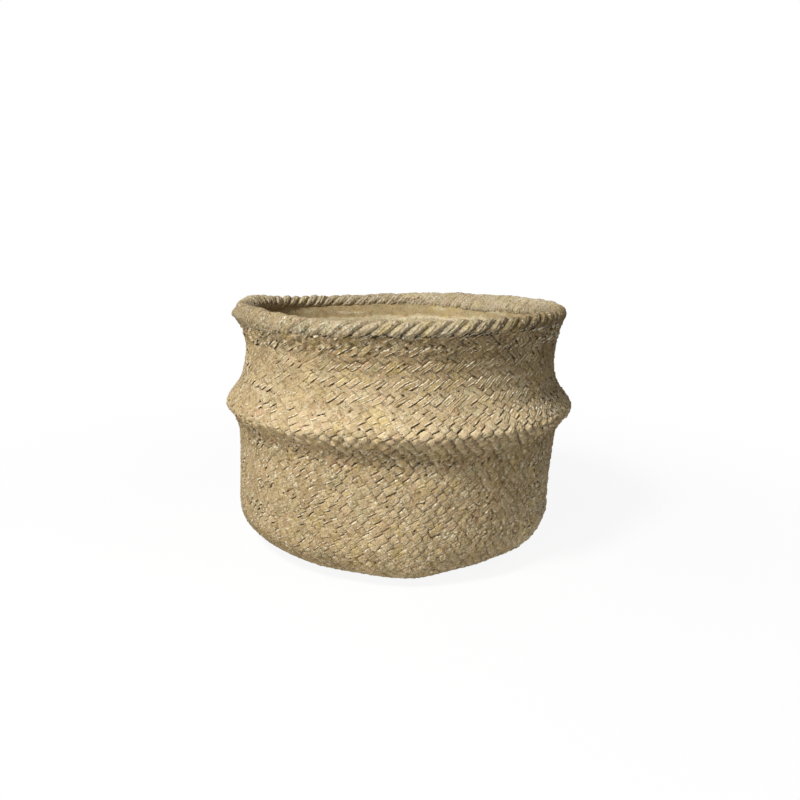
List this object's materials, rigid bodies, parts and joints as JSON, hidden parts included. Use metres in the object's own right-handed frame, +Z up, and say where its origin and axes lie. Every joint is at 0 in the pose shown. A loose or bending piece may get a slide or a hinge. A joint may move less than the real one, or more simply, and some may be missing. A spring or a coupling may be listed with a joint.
{
  "type": "round planter pot",
  "caption": "Round cast-cement planter shaped like a woven belly basket, with a rope-twist rim, a drain hole closed by a pull-out plug, and pads to stand on.",
  "frame": {"origin": "on the ground, under the middle of the pot", "axes": "+Z up along the pot's axis; -Y is the side that faces the picture's camera"},
  "size_m": [0.3206, 0.3206, 0.2196],
  "materials": {
    "cement": "matte",
    "plug_rubber": "matte",
    "pad_rubber": "matte"
  },
  "bodies": {
    "pot": {"pot_shell": "cement", "rim_rope": "cement", "foot_pad_1": "pad_rubber", "foot_pad_2": "pad_rubber", "foot_pad_3": "pad_rubber", "foot_pad_4": "pad_rubber"},
    "plug": {"drain_plug": "plug_rubber"}
  },
  "joints": [
    {"name": "plug_lift", "type": "slide", "parent": "pot", "child": "plug", "axis": [0, 0, 1], "range_m": [0, 0.22]}
  ]
}
